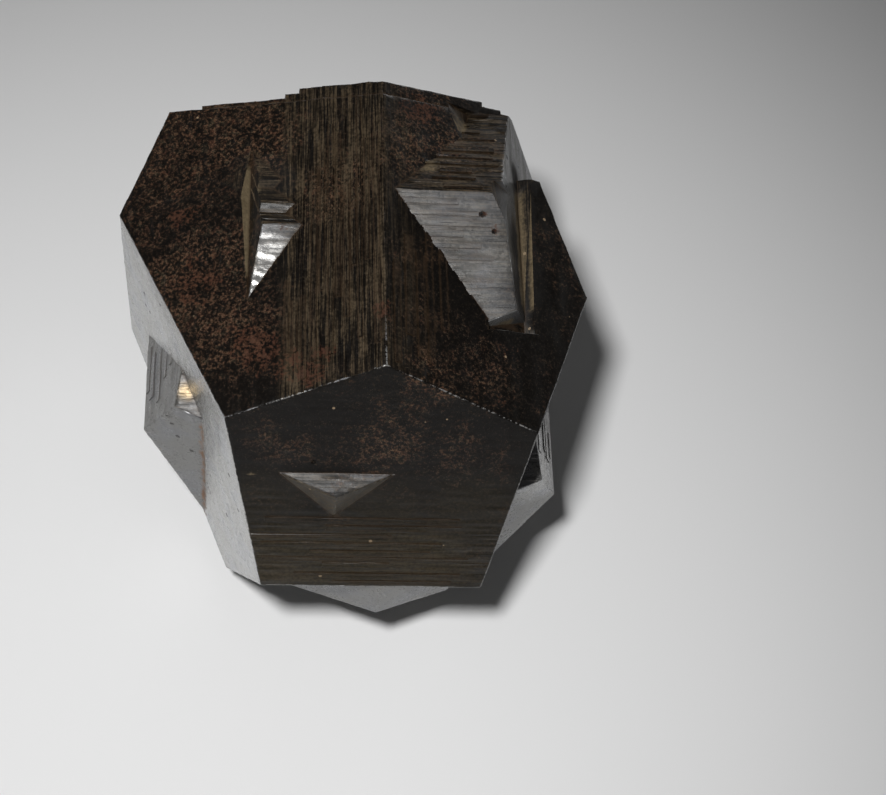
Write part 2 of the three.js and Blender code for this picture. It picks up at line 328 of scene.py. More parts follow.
numbers = {}
rings = []
ring_kinds = []
ring_planes = []
for face in body.faces:
    ring = []
    for loop in face.loops:
        start, end = tuple(loop.vert.co), tuple(loop.link_loop_next.vert.co)
        inner = edge_corners[min(start, end), max(start, end)]
        ring += [start] + (inner if start < end else inner[::-1])
    pieces = [ring]
    if face[kind_layer] >= 0:
        for direction, places in habit[face[kind_layer]]["cuts"]:
            pieces = [part for piece in pieces for part in split(piece, direction, places)]
    for piece in pieces:
        numbered = [
            numbers.setdefault(tuple(round(c, DECIMALS) for c in point), len(numbers))
            for point in piece
        ]
        ring = [n for i, n in enumerate(numbered) if n != numbered[i - 1]]
        if len(ring) > 2:
            rings.append(ring)
            ring_kinds.append(face[kind_layer])
            ring_planes.append(face[plane_layer])
body.free()
print("pieces:", len(rings), "corners:", len(numbers))

# %% [markdown]
# ## One closed skin again
#
# So far the pieces are only lists of corner numbers. They become a mesh here,
# and each piece keeps its kind and its plane. The weld and the hole filling
# mend the few places where two cuts met at almost the same point, because the
# skin has to be closed when it is printed or measured.

# %% Close the skin
WELD_DISTANCE = 0.002
HOLE_SIDES = 6

skin = bmesh.new()
kind_layer = skin.faces.layers.int.new("kind")
plane_layer = skin.faces.layers.int.new("plane")
corners = [skin.verts.new(point) for point in numbers]
for ring, kind, plane in zip(rings, ring_kinds, ring_planes):
    if len(set(ring)) < len(ring) or skin.faces.get([corners[n] for n in ring]):
        continue
    face = skin.faces.new([corners[n] for n in ring])
    face[kind_layer] = kind
    face[plane_layer] = plane
bmesh.ops.remove_doubles(skin, verts=skin.verts, dist=WELD_DISTANCE)
bmesh.ops.holes_fill(skin, edges=[e for e in skin.edges if e.is_boundary], sides=HOLE_SIDES)
bmesh.ops.delete(skin, geom=[v for v in skin.verts if not v.link_faces], context="VERTS")
bmesh.ops.triangulate(skin, faces=skin.faces, quad_method="BEAUTY", ngon_method="BEAUTY")
skin.normal_update()
skin.verts.index_update()
print("corners:", len(skin.verts), "triangles:", len(skin.faces))
print("open edges:", sum(not e.is_manifold for e in skin.edges))

# %% [markdown]
# ## Where the stripes are strong
#
# The faces are not all alike. The left side of the roof has a band of strong
# stripes beside the ridge and turns lumpy further out; the twin's back slope is
# ribbed all over; the side faces are almost mirrors. Each face gets a share of
# the full step height, and the top faces get it by place.

# %% Share of the step height at a place on a face
STRIPED = {"main": 0.3, "twin": 0.35}
STRIPED_BY_FACE = {
    ("main", "-x", "-y"): 0.04,
    ("main", "x", "-y"): 0.12,
    ("twin", "z", "-y"): 0.42,
    ("twin", "z", "y"): 1.0,
    ("twin", "-x", "z"): 0.3,
    ("twin", "x", "z"): 0.25,
    ("twin", "-y", "-x"): 0.08,
    ("twin", "-y", "x"): 0.08,
    ("main", "y", "z"): 0.8,
    ("main", "y", "-z"): 0.6,
}


def fade(value, start, end):
    """0 at start, 1 at end, smooth between; start may be above end."""
    share = np.clip((value - start) / (end - start), 0, 1)
    return share * share * (3 - 2 * share)


STRIPED_BY_PLACE = {
    ("main", "z", "-x"): {"least": 0.16, "rise": 0.84, "axis": 0, "start": -6.2, "end": -4.6},
    ("main", "z", "x"): {"least": 0.12, "rise": 0.4, "axis": 0, "start": 6.0, "end": 2.5},
    ("main", "-y", "z"): {"least": 0.04, "rise": 0.30, "axis": 2, "start": 29, "end": 21},
}


def stripe_share(kind, point):
    entry = habit[kind]
    key = (entry["crystal"], entry["side"], entry["lean"])
    if key in STRIPED_BY_PLACE:
        by = STRIPED_BY_PLACE[key]
        return by["least"] + by["rise"] * fade(point[by["axis"]], by["start"], by["end"])
    return STRIPED_BY_FACE.get(key, STRIPED[entry["crystal"]])


print("faces with a share of their own:", len(STRIPED_BY_FACE) + len(STRIPED_BY_PLACE))

# %% [markdown]
# ## Which way each corner may move
#
# A stripe stands out of its face, so its corners move along the face's normal.
# A corner on an edge belongs to two faces, and one at a tip to three. Its push
# for one face is the move that lifts this face and slides along the others.
# Where faces are nearly parallel such a move would be very long, so it is
# softened a little, and left out if it is still too long.

# %% Push directions at every corner
MAX_PLANES = 3
SOFTEN = 0.02
LONGEST_PUSH = 2
TREAD_STEP = 7.31
KIND_STEP = 31.7

count = len(skin.verts)
co = np.array([v.co for v in skin.verts])
push = np.zeros((MAX_PLANES, count, 3))
place = np.zeros((MAX_PLANES, count, 3))
stripes = np.zeros((MAX_PLANES, count))
for vert in skin.verts:
    met = {}
    for face in vert.link_faces:
        met.setdefault(face[plane_layer], face[kind_layer])
    if len(met) > MAX_PLANES:
        continue
    normals = np.array([planes[plane][0] for plane in met])
    gram = normals @ normals.T + SOFTEN * (len(met) > 1) * np.eye(len(met))
    ways = normals.T @ np.linalg.inv(gram)
    if np.linalg.norm(ways, axis=0).max() > LONGEST_PUSH:
        continue
    for n, kind in enumerate(met.values()):
        push[n, vert.index] = ways[:, n]
        if kind < 0:
            continue
        entry = habit[kind]
        tread = np.searchsorted(entry["treads"], vert.co.dot(entry["across"]))
        row = tread * TREAD_STEP + kind * KIND_STEP
        place[n, vert.index] = (row, vert.co.dot(entry["along"]), kind)
        stripes[n, vert.index] = stripe_share(kind, vert.co)
print("corners that move:", int(push.any(axis=(0, 2)).sum()), "of", count)

# %% [markdown]
# ## How far it is to the nearest edge
#
# Wear and rust both follow the edges: outer edges are rubbed bright, and rust
# stays in the inner ones. Every corner gets its distance to the nearest long
# edge of each sort, in millimetres. A distance is better than a ready mask,
# because the material can then choose its own width and ragged border.

# %% Measure the distances
LONG_EDGE = 0.9
FAR = 9.0


def distance_to(edges):
    nearest = np.full(count, FAR)
    for start, end in edges:
        line = end - start
        length = np.linalg.norm(line)
        if length < LONG_EDGE:
            continue
        share = np.clip((co - start) @ line / length**2, 0, 1)
        away = np.linalg.norm(co - start - share[:, None] * line, axis=1)
        nearest = np.minimum(nearest, away)
    return nearest


worn_mm = distance_to(worn_edges)
inner_mm = distance_to(inner_edges)
print("corners within 0.3 mm of a worn edge:", int((worn_mm < 0.3).sum()))
print("corners within 0.3 mm of an inner edge:", int((inner_mm < 0.3).sum()))

# %% [markdown]
# ## Where crust, dust and bright metal lie
#
# Old pyrite slowly turns to brown iron oxide. Here the crust is thick on the
# left of the roof, with one reddish patch near the front corner, and thin on
# the upper front, whose foot is ochre. Tan dust lies in the long ledges. Some
# spots of bare metal are brighter, golden or duller than the face around them.
#
# A painted picture could say all this, but it would need a file. Soft round
# spots need a few numbers each: a place, a radius and at times a strength. The
# material later breaks their borders up with noise.

# %% Lay out the crust and the rust
SPOTS = {
    "rust": [
        (9.2, 0.1, 37.8, 0.6), (10.1, -1.1, 37.5, 0.5),
        (-7.1, -10.8, 35.2, 2.6), (-5.1, -12.2, 36.1, 1.9), (-3.5, -13.2, 36.8, 1.6),
        (-8.1, -9.4, 34.8, 2.0), (-2.6, -11.7, 37.2, 1.2), (-5.8, -0.8, 36.3, 0.5),
        (10.2, -14.0, 34.8, 1.8, 0.6), (11.3, -9.5, 34.3, 1.6, 0.6), (4.7, 9.6, 37.5, 2.4),
        (-11.9, -3.7, 33.1, 3.0, 0.9), (-13.0, 3.0, 32.6, 2.6, 0.9), (1.5, -9.0, 38.6, 1.2),
        (-11.5, -11.6, 23.5, 0.5), (-11.5, -11.6, 20.6, 0.5), (-11.5, -11.6, 18.8, 0.7),
        (-11.5, -11.7, 17.2, 0.7), (-11.5, -11.6, 15.0, 0.5), (-11.5, -11.6, 12.0, 0.5),
    ],
    "crust": [
        (-13.7, 5.8, 32.3, 6.0, 0.7), (-11.8, -3.7, 33.1, 6.0), (-9.4, -8.4, 34.2, 4.5),
        (-15.9, 2.6, 31.5, 3.5, 0.7), (-8.5, 9.0, 35.0, 5.0), (7.0, 6.6, 36.7, 4.5, 0.8),
        (4.5, 6.0, 38.0, 4.0, 0.8), (-5.6, -16.3, 32.2, 3.0, 0.35), (16.0, 0.0, 32.2, 4.0, 0.3),
        (9.0, -12.0, 35.2, 4.5, 0.45), (5.0, -14.0, 37.0, 3.0, 0.7), (-2.0, 2.0, 37.5, 3.5, 0.8),
        (-11.0, 12.0, 33.0, 5.0), (4.0, 14.0, 36.0, 5.0), (2.5, -16.8, 32.8, 3.6, 0.65),
        (6.5, -17.2, 31.8, 3.2, 0.5), (-1.0, -18.0, 30.4, 2.6, 0.45),
        (9.5, -18.0, 30.0, 2.8, 0.35),
    ],
    "olive": [
        (-5.0, -21.0, 20.0, 5.5), (0.0, -21.0, 20.0, 5.5), (5.5, -21.0, 20.0, 5.5),
        (-7.0, -20.0, 26.0, 4.5, 0.4), (3.0, -20.5, 25.0, 5.0, 0.45),
        (9.0, -19.5, 25.0, 5.0, 0.5),
    ],
}
print("spots of rust, crust and ochre:", sum(len(places) for places in SPOTS.values()))

# %% Lay out the dust and the looks of the metal
SPOTS["tan"] = [(-8.5, y, 34.8, radius) for y, radius in (
    (4.6, 1.3), (3.0, 1.6), (1.0, 1.7), (-1.0, 1.7), (-3.0, 1.5),
)]
SPOTS["tan"] += [(13.2, y, 33.1, 1.8) for y in (4.0, 2.0, 0.0, -2.0, -4.0)]
SPOTS["tan"] += [
    (7.9, 9.8, 35.7, 1.1), (11.1, -7.0, 33.8, 1.0), (5.0, 4.8, 37.6, 1.5, 0.8),
    (-7.8, -17.6, 29.0, 0.35),
]
SPOTS["gold"] = [(-12.7, -9.5, 26.1, 0.9)]
SPOTS["bright"] = [
    (4.5, 1.0, 36.0, 7.0, 0.10), (9.5, -5.0, 35.5, 4.0, 0.12), (-6.9, -3.3, 35.6, 2.2, 0.42),
    (-7.6, -4.8, 35.1, 1.6, 0.8), (-6.9, -1.4, 36.0, 1.6, 0.34), (16.0, -12.0, 21.0, 4.5, 0.36),
]
SPOTS["dull"] = [(13.1, y, 33.1, 1.3) for y in (4.0, 2.0, 0.0, -2.0, -4.0)]
SPOTS["dull"] += [
    (-6.6, 3.6, 35.7, 2.6), (-6.8, 4.6, 35.5, 2.2), (-7.0, 5.4, 35.3, 1.5),
    (-7.9, 3.0, 35.3, 1.2), (-7.9, 1.0, 35.3, 1.0), (-8.0, -1.0, 35.1, 0.9),
    (-8.1, -3.0, 35.0, 0.8), (-1.3, -18.6, 29.0, 2.0, 0.3), (12.3, -0.7, 34.2, 2.8, 0.85),
    (12.4, -4.5, 34.0, 2.8, 0.85), (13.0, 6.5, 33.4, 1.8),
]
print("spots in all:", sum(len(places) for places in SPOTS.values()))

# %% Measure the spots at every corner
SPOT_CORE = 0.35
SPOT_BORDER = 1.3

covers = {}
for name, places in SPOTS.items():
    cover = np.zeros(count)
    for x, y, z, radius, *strength in places:
        away = np.linalg.norm(co - np.array([x, y, z]), axis=1)
        soft = 1 - fade(away, SPOT_CORE * radius, SPOT_BORDER * radius)
        cover = np.maximum(cover, soft * (strength or [1])[0])
    covers[name] = cover
for name, cover in covers.items():
    print(f"share covered by {name}: {cover.mean():.3f}")

# %% [markdown]
# ## The stripes as a node tree
#
# The stripes follow one rule everywhere, so a Geometry Nodes tree makes them.
# Each corner carries up to three faces that meet there. For each of them it has
# a push direction, its place in that face's stripes, and a share of the step
# height. The tree reads a smooth noise at that place, the same for a whole
# tread, and pushes the corner out or in. A corner on an edge gets the sum of
# both faces' pushes, so the stripes of each face notch the edge as in nature.

# %% Turn the skin into a mesh
skin_mesh = bpy.data.meshes.new("pyrite skin")
face_kinds = np.array([f[kind_layer] for f in skin.faces])
face_planes = np.array([f[plane_layer] for f in skin.faces])
skin.to_mesh(skin_mesh)
skin.free()
triangles = np.array([p.vertices[:] for p in skin_mesh.polygons])
print("triangles of the skin:", len(triangles))


def store(name, values, domain="POINT"):
    """Keep one number or one vector for each corner, or each corner of each face."""
    vector = np.ndim(values) == 2
    layer = skin_mesh.attributes.new(name, "FLOAT_VECTOR" if vector else "FLOAT", domain)
    flat = np.ascontiguousarray(values, dtype=np.float32).ravel()
    layer.data.foreach_set("vector" if vector else "value", flat)


def by_face(table, otherwise):
    """One number for each face of the mesh, looked up by the name of its habit face."""
    by_kind = [table.get((h["crystal"], h["side"], h["lean"]), otherwise) for h in habit]
    return np.array(by_kind + [otherwise])[face_kinds]


# %% Keep the measures on the mesh
LUMPY = {
    ("main", "z", "-x"): 1.0, ("main", "z", "x"): 0.7, ("main", "x", "y"): 0.8,
    ("main", "-x", "-y"): 0.3, ("twin", "-x", "z"): 0.9, ("main", "-y", "z"): 0.5,
}
LUMPY_ELSEWHERE = 0.5

lumps = np.zeros(count)
np.maximum.at(lumps, triangles, by_face(LUMPY, LUMPY_ELSEWHERE)[:, None].repeat(3, axis=1))
for n in range(MAX_PLANES):
    store(f"push {n + 1}", push[n])
    store(f"place {n + 1}", place[n])
    store(f"stripes {n + 1}", stripes[n])
store("lumps", lumps)
store("ribbed", stripes.max(axis=0))
for name in ("rust", "crust", "olive", "dull"):
    store(name, covers[name])
print("measures kept:", [a.name for a in skin_mesh.attributes if not a.is_internal][-12:])

# %% Say where the edges are rubbed
RIDGE_WIDTH = 0.7
RIDGE_FOOT = 36
FACET_PLACE = np.array([-1.3, -18.9, 28.4])
FACET_RADIUS = 4
HARDLY_RUBBED = 0.05
RUBBED_BEHIND, RUBBED_IN_FRONT = 0.02, 0.82
FRONT_FROM, FRONT_FULL = -9, -13
NOT_WORN_MM = 1.0

on_ridge = (np.abs(co[:, 0]) < RIDGE_WIDTH) & (co[:, 2] > RIDGE_FOOT)
on_facet = np.linalg.norm(co - FACET_PLACE, axis=1) < FACET_RADIUS
spared = on_ridge | on_facet | (covers["dull"] > 0.5)
rubbed = RUBBED_BEHIND + (RUBBED_IN_FRONT - RUBBED_BEHIND) * fade(co[:, 1], FRONT_FROM, FRONT_FULL)
store("rubbed", np.where(spared, HARDLY_RUBBED, rubbed))
store("worn mm", np.where(on_ridge, NOT_WORN_MM, worn_mm))
store("inner mm", inner_mm)
print("corners spared from rubbing:", int(spared.sum()))

# %% [markdown]
# ## Short names for nodes
#
# A node tree is easier to read in a script when one call makes a node, sets it
# and wires it. The stripe tree and the material both use these few helpers.

# %% Helpers that build node trees
def add(tree, kind, *inputs, **options):
    """Add a node, set its options, feed its inputs in order and give its first output."""
    node = tree.nodes.new(kind)
    for name, value in options.items():
        setattr(node, name, value)
    sockets = [socket for socket in node.inputs if socket.enabled]
    for socket, value in zip(sockets, inputs):
        if isinstance(value, bpy.types.NodeSocket):
            tree.links.new(value, socket)
        elif value is not None:
            socket.default_value = value
    return next(socket for socket in node.outputs if socket.enabled)


def math_node(tree, operation, *inputs):
    return add(tree, "ShaderNodeMath", *inputs, operation=operation)


def vector_node(tree, operation, *inputs):
    return add(tree, "ShaderNodeVectorMath", *inputs, operation=operation)


def noise(tree, place, scale, detail=2.0, roughness=0.5):
    return add(tree, "ShaderNodeTexNoise", place, scale, detail, roughness)


def remap(tree, value, low, high, new_low=0.0, new_high=1.0):
    """Map low..high to new_low..new_high with smooth ends; low may be above high."""
    return add(
        tree, "ShaderNodeMapRange", value, low, high, new_low, new_high,
        interpolation_type="SMOOTHSTEP",
    )


# %% [markdown]
# ## Build the tree
#
# Three things move a corner along its push: a broad lump, the wear at a sharp
# edge, and the stripe it lies on. The sizes are named inputs of the tree, so
# they can be tried out in the modifier panel, and the seed is a fixed number.

# %% Give the tree its inputs
STRIPE_INPUTS = {
    "Step height mm": 0.11,
    "Lump height mm": 0.09,
    "Lump scale": 0.55,
    "Edge wear mm": 0.07,
    "Seed": 3.0,
}

stripe_tree = bpy.data.node_groups.new("growth stripes", "GeometryNodeTree")
for way in ("INPUT", "OUTPUT"):
    stripe_tree.interface.new_socket("Geometry", in_out=way, socket_type="NodeSocketGeometry")
for name in STRIPE_INPUTS:
    stripe_tree.interface.new_socket(name, in_out="INPUT", socket_type="NodeSocketFloat")
stripe_tree.interface.new_socket("Skin", in_out="INPUT", socket_type="NodeSocketMaterial")
given = stripe_tree.nodes.new("NodeGroupInput").outputs
print("inputs of the stripe tree:", list(STRIPE_INPUTS))


def read(name, data_type="FLOAT"):
    return add(stripe_tree, "GeometryNodeInputNamedAttribute", name, data_type=data_type)


def do(operation, *inputs):
    return math_node(stripe_tree, operation, *inputs)


# %% Lumps and worn edges
MEAN = 0.5
FULL_SWING = 2.0
WORN_MM = 0.09
CHIP_SCALE = 1.7

where = add(stripe_tree, "GeometryNodeInputPosition")
seeded = vector_node(stripe_tree, "ADD", where, add(
    stripe_tree, "ShaderNodeCombineXYZ", given["Seed"], given["Seed"], given["Seed"]
))
lump = noise(stripe_tree, seeded, given["Lump scale"], 3.0, 0.55)
lump = do("MULTIPLY", do("SUBTRACT", lump, MEAN), given["Lump height mm"])
lump = do("MULTIPLY", do("MULTIPLY", lump, read("lumps")), FULL_SWING)
at_edge = remap(stripe_tree, read("worn mm"), WORN_MM, 0.0)
chips = noise(stripe_tree, seeded, CHIP_SCALE, 2.0, 0.6)
chips = remap(stripe_tree, chips, 0.35, 0.72, 0.25, 1.0)
wear = do("MULTIPLY", do("MULTIPLY", at_edge, chips), given["Edge wear mm"])
common = do("SUBTRACT", lump, wear)
print("nodes for lumps and wear:", len(stripe_tree.nodes))

# %% Push every corner by its stripes
ALONG_SCALE = 0.22

moved = None
for n in range(1, MAX_PLANES + 1):
    stretched = read(f"place {n}", "FLOAT_VECTOR")
    stretched = vector_node(stripe_tree, "MULTIPLY", stretched, (1, ALONG_SCALE, 1))
    rise = do("SUBTRACT", noise(stripe_tree, stretched, 1.0, 1.0, 0.4), MEAN)
    rise = do("MULTIPLY", do("MULTIPLY", rise, given["Step height mm"]), read(f"stripes {n}"))
    rise = do("ADD", do("MULTIPLY", rise, FULL_SWING), common)
    push_out = add(stripe_tree, "ShaderNodeVectorMath", operation="SCALE")
    scale_node = push_out.node
    stripe_tree.links.new(read(f"push {n}", "FLOAT_VECTOR"), scale_node.inputs["Vector"])
    stripe_tree.links.new(rise, scale_node.inputs["Scale"])
    moved = push_out if moved is None else vector_node(stripe_tree, "ADD", moved, push_out)
print("nodes with the stripes:", len(stripe_tree.nodes))

# %% End the tree
placed = stripe_tree.nodes.new("GeometryNodeSetPosition")
stripe_tree.links.new(given["Geometry"], placed.inputs["Geometry"])
stripe_tree.links.new(moved, placed.inputs["Offset"])
real = add(stripe_tree, "GeometryNodeRealizeInstances", placed.outputs[0])
painted = stripe_tree.nodes.new("GeometryNodeSetMaterial")
stripe_tree.links.new(real, painted.inputs["Geometry"])
stripe_tree.links.new(given["Skin"], painted.inputs["Material"])
leaves = stripe_tree.nodes.new("NodeGroupOutput")
stripe_tree.links.new(painted.outputs[0], leaves.inputs[0])
print("nodes in the stripe tree:", len(stripe_tree.nodes))

# %% [markdown]
# ## Where the bare metal shows
#
# Fresh pyrite is brassy metal. This one is old: most of it is covered with a
# thin, half glossy, nearly black oxide skin. On some faces the metal is still
# bare, and they mirror the pale floor or the lamp, so these read as grey or
# silver. How much metal shows is set for each face by name, and then changed
# by place: less in dull spots, on the wall of the recess and on the sides of
# the small front facet, more in bright spots. Broken faces take it from their
# neighbours. The values sit on the corners of the triangles, not on the shared
# points, so that two faces can differ sharply along their common edge.

# %% How much metal shows on each face
BARE = {
    ("main", "-x", "-y"): 0.8,
    ("main", "-x", "y"): 0.5,
    ("main", "x", "y"): 0.3,
    ("main", "x", "-y"): 0.4,
    ("twin", "z", "-y"): 0.103,
    ("twin", "-x", "z"): 0.34,
    ("twin", "-x", "-z"): 0.3,
    ("twin", "x", "-z"): 0.45,
    ("twin", "x", "z"): 0.27,
    ("twin", "-y", "-x"): 0.38,
    ("twin", "-y", "x"): 0.38,
    ("twin", "y", "-x"): 0.4,
    ("twin", "y", "x"): 0.4,
    ("main", "-y", "-z"): 0.3,
    ("main", "y", "z"): 0.15,
}


def on_face(crystal, side, lean):
    """1 for each triangle of this habit face, else 0."""
    return by_face({(crystal, side, lean): 1.0}, 0.0)[:, None]


print("faces with bare metal:", len(BARE))

# %% Change it by place
BRIGHT_SPOTS_FROM = 0.1
RECESS_WALL_EDGE = -10
FACET_FOOT, FACET_BACK = 24, -16
BROKEN_SHARE = 0.7

bare = by_face(BARE, 0.0)[:, None] + np.zeros((1, 3))
bare = np.where(bare > BRIGHT_SPOTS_FROM, bare + covers["bright"][triangles], bare)
bare = bare * (1 - covers["dull"][triangles])
x, y, z = (co[:, axis][triangles] for axis in range(3))
bare = bare * (1 - on_face("twin", "-x", "z") * (x > RECESS_WALL_EDGE))
facet_sides = on_face("twin", "-y", "-x") + on_face("twin", "-y", "x")
facet_sides = facet_sides * (z > FACET_FOOT) * (y < FACET_BACK)
bare = bare * (1 - facet_sides)

around = np.zeros(count)
np.maximum.at(around, triangles, bare)
broken = (face_kinds < 0)[:, None]
bare = np.where(broken, BROKEN_SHARE * around[triangles], bare)
bare = bare * (1 - covers["dull"][triangles])
print("mean share of bare metal:", round(float(bare.mean()), 3))

# %% Gold, dust and faint stripes by face
GOLD_SHINE = 0.36
FACET_DUST = 0.55
LEVEL_FROM = 0.85
ROOF_LEAN, STEEP_LEAN = 0.3, 0.7
FAINT_SHARE = 0.65
FAINT_FROM, FAINT_FULL = 0, 2.5

gold = on_face("twin", "z", "-y") * covers["gold"][triangles]
slopes = np.array([normal for normal, _ in planes])[face_planes]
level = (slopes[:, 2] > LEVEL_FROM)[:, None]
lean = slopes[:, 0][:, None]
roof = level * ((lean < -ROOF_LEAN) | ((lean > ROOF_LEAN) & (x > 0))) | (lean < -STEEP_LEAN)
tan = np.maximum(covers["tan"][triangles] * (1 - roof), FACET_DUST * facet_sides)
faint = FAINT_SHARE * on_face("main", "z", "x") * fade(x, FAINT_FROM, FAINT_FULL)
bare = np.maximum(bare, GOLD_SHINE * gold)
for name, values in (("bare", bare), ("gold", gold), ("tan", tan), ("faint", faint)):
    store(name, values.ravel(), "CORNER")
    print(f"mean of {name}: {values.mean():.4f}")

# %% [markdown]
# ## The material of the skin
#
# One material covers the whole crystal. It starts from noises of several sizes,
# all in millimetres of the object itself, and from lines that run along the
# stripes of each face. Masks made from these and from the stored measures then
# say where each layer lies: oxide, crust, rust, dust, seam dirt, worn metal.

# %% Start the material
skin_paint = bpy.data.materials.new("pyrite_skin")
skin_paint.use_nodes = True
paint = skin_paint.node_tree
shader = paint.nodes["Principled BSDF"]


def measure(name):
    node = paint.nodes.new("ShaderNodeAttribute")
    node.attribute_name = name
    return node.outputs["Fac"]


def plus(first, second):
    return math_node(paint, "ADD", first, second)


def minus(first, second):
    return math_node(paint, "SUBTRACT", first, second)


def times(first, second):
    return math_node(paint, "MULTIPLY", first, second)


def larger(first, second):
    return math_node(paint, "MAXIMUM", first, second)


def ease(value, low, high, new_low=0.0, new_high=1.0):
    return remap(paint, value, low, high, new_low, new_high)


def blend(share, first, second):
    """Mix two colours."""
    return add(paint, "ShaderNodeMix", share, first, second, data_type="RGBA")


def rgb(r, g, b):
    return (r, g, b, 1.0)


# %% Noises in millimetres
object_place = paint.nodes.new("ShaderNodeTexCoord").outputs["Object"]
mm_place = vector_node(paint, "MULTIPLY", object_place, (1 / MM, 1 / MM, 1 / MM))
cloudy = noise(paint, mm_place, 0.3, 3.0, 0.6)
patchy = noise(paint, mm_place, 1.0, 4.0, 0.62)
grainy = noise(paint, mm_place, 4.0, 4.0, 0.65)
speckled = noise(paint, mm_place, 12.0, 3.0, 0.6)
ragged = plus(times(patchy, 0.5), times(grainy, 0.5))
wandering = noise(paint, mm_place, 1.9, 4.0, 0.7)
threads = ease(math_node(paint, "ABSOLUTE", minus(wandering, MEAN)), 0.045, 0.0)
print("nodes of the noises:", len(paint.nodes))

# %% Lines along the stripes
GRAIN_MM = 50.0

grain = paint.nodes.new("ShaderNodeUVMap")
grain.uv_map = "grain"


def lines(across_per_mm, along_per_mm, detail, roughness):
    """Noise drawn out along the stripes; the numbers say how fine it is."""
    place = (across_per_mm * GRAIN_MM, along_per_mm * GRAIN_MM, 1.0)
    place = vector_node(paint, "MULTIPLY", grain.outputs[0], place)
    return noise(paint, place, 1.0, detail, roughness)


broad_lines = lines(2.3, 0.11, 3.0, 0.65)
fine_lines = lines(8.0, 0.22, 3.0, 0.7)
hair_lines = lines(26.0, 1.0, 2.0, 0.6)
line_mix = plus(times(broad_lines, 0.4), times(fine_lines, 0.6))
grooves = ease(line_mix, 0.44, 0.37)
print("nodes so far:", len(paint.nodes))

# %% Masks for wear, seam dirt, crust, rust and dust
RUBBED_MM = 0.09
SEAM_MM = -0.12

near_edge = ease(measure("worn mm"), RUBBED_MM, 0.02)
worn = times(times(near_edge, measure("rubbed")), ease(ragged, 0.46, 0.60))
in_seam = ease(minus(measure("inner mm"), times(ragged, 0.3)), 0.02, SEAM_MM)
crusted = plus(times(ragged, 2.0), times(cloudy, 1.6))
crusted = ease(plus(measure("crust"), crusted), 1.85, 3.05)
rusted = ease(plus(measure("rust"), times(ragged, 4.0)), 2.75, 3.3)
dusty = ease(plus(measure("tan"), times(ragged, 0.8)), 0.70, 1.40)
print("nodes with the first masks:", len(paint.nodes))

# %% Single grains, and rust along the left seam
DOTS_PER_MM = 0.6
DOT_RARITY = 0.48
DOT_RADIUS = 0.24
SEAM_PLACE = (-11.4, -11.52, 0.0)
SEAM_FROM, SEAM_FULL = -0.28, -0.50
SEAM_TOP = 25.0

cells = paint.nodes.new("ShaderNodeTexVoronoi")
cells.inputs["Scale"].default_value = DOTS_PER_MM
paint.links.new(mm_place, cells.inputs["Vector"])
dot_size = times(minus(cells.outputs["Color"], DOT_RARITY), DOT_RADIUS)
dots = ease(minus(dot_size, cells.outputs["Distance"]), 0.0, 0.02)
mm_axes = paint.nodes.new("ShaderNodeSeparateXYZ")
paint.links.new(mm_place, mm_axes.inputs[0])
seam_away = vector_node(paint, "SUBTRACT", mm_place, SEAM_PLACE)
seam_away = vector_node(paint, "MULTIPLY", seam_away, (1, 1, 0))
seam_away = add(paint, "ShaderNodeVectorMath", seam_away, operation="LENGTH")
seam_rust = ease(plus(seam_away, times(ragged, -1.3)), SEAM_FROM, SEAM_FULL)
seam_rust = times(seam_rust, ease(mm_axes.outputs["Z"], SEAM_TOP, SEAM_TOP - 1))
seam_rust = times(seam_rust, ease(patchy, 0.38, 0.60, 0.3, 1.0))
print("nodes with dots and seam:", len(paint.nodes))

# %% How much metal shines through
COVER_HIDES = 0.8
WORN_SHINE = 0.75

covered = larger(times(crusted, 0.5), larger(rusted, dusty))
covered = larger(covered, larger(times(in_seam, 0.35), seam_rust))
patches = plus(times(ragged, 0.6), times(cloudy, 0.4))
shine = times(measure("bare"), ease(patches, 0.36, 0.5, 0.74, 1.0))
groove_depth = ease(measure("ribbed"), 0.05, 0.4, 0.1, 0.65)
shine = times(shine, minus(1.0, times(grooves, groove_depth)))
shine = times(shine, minus(1.0, times(covered, COVER_HIDES)))
shine = larger(shine, times(worn, WORN_SHINE))
print("nodes with the shine:", len(paint.nodes))

# %% [markdown]
# ## The colours, layer over layer
#
# Each layer is mixed over the ones below it by its own mask, as dirt settles on
# the real crystal: dark oxide first, then crust with its fine web, ochre, light
# ribs, rust, dust and seam dirt, and last the metal where it is bare. Most
# layers have two shades, and a noise chooses between them, so that no patch has
# one flat colour.

# %% Choose the shades
SHADES = {
    "oxide": ((0.0022, 0.0019, 0.0017), (0.0048, 0.0037, 0.0028)),
    "crust": ((0.046, 0.034, 0.020), (0.074, 0.032, 0.018)),
    "ochre": ((0.011, 0.0085, 0.0048), (0.031, 0.0240, 0.0125)),
    "ribs": ((0.028, 0.021, 0.013), (0.088, 0.064, 0.039)),
    "rust": ((0.014, 0.006, 0.004), (0.085, 0.030, 0.014)),
    "dust": ((0.045, 0.034, 0.020), (0.18, 0.137, 0.080)),
    "seam rust": ((0.10, 0.045, 0.02), (0.26, 0.13, 0.06)),
    "metal": ((0.36, 0.355, 0.345), (0.58, 0.575, 0.555)),
}
THREAD, SPECK = rgb(0.13, 0.070, 0.040), rgb(0.16, 0.12, 0.08)
SEAM_DIRT, DOT = rgb(0.034, 0.021, 0.012), rgb(0.26, 0.19, 0.12)
TARNISH, GOLD = rgb(0.44, 0.45, 0.48), rgb(0.60, 0.44, 0.24)


def shades(name, share):
    """A colour between the two shades of this name."""
    first, second = SHADES[name]
    return blend(share, rgb(*first), rgb(*second))


print("layers with two shades:", len(SHADES))

# %% Oxide, crust, its web and bright specks
THREAD_SHARE = 0.75
SPECK_SHARE, SPECK_IN_CRUST = 0.22, 0.4

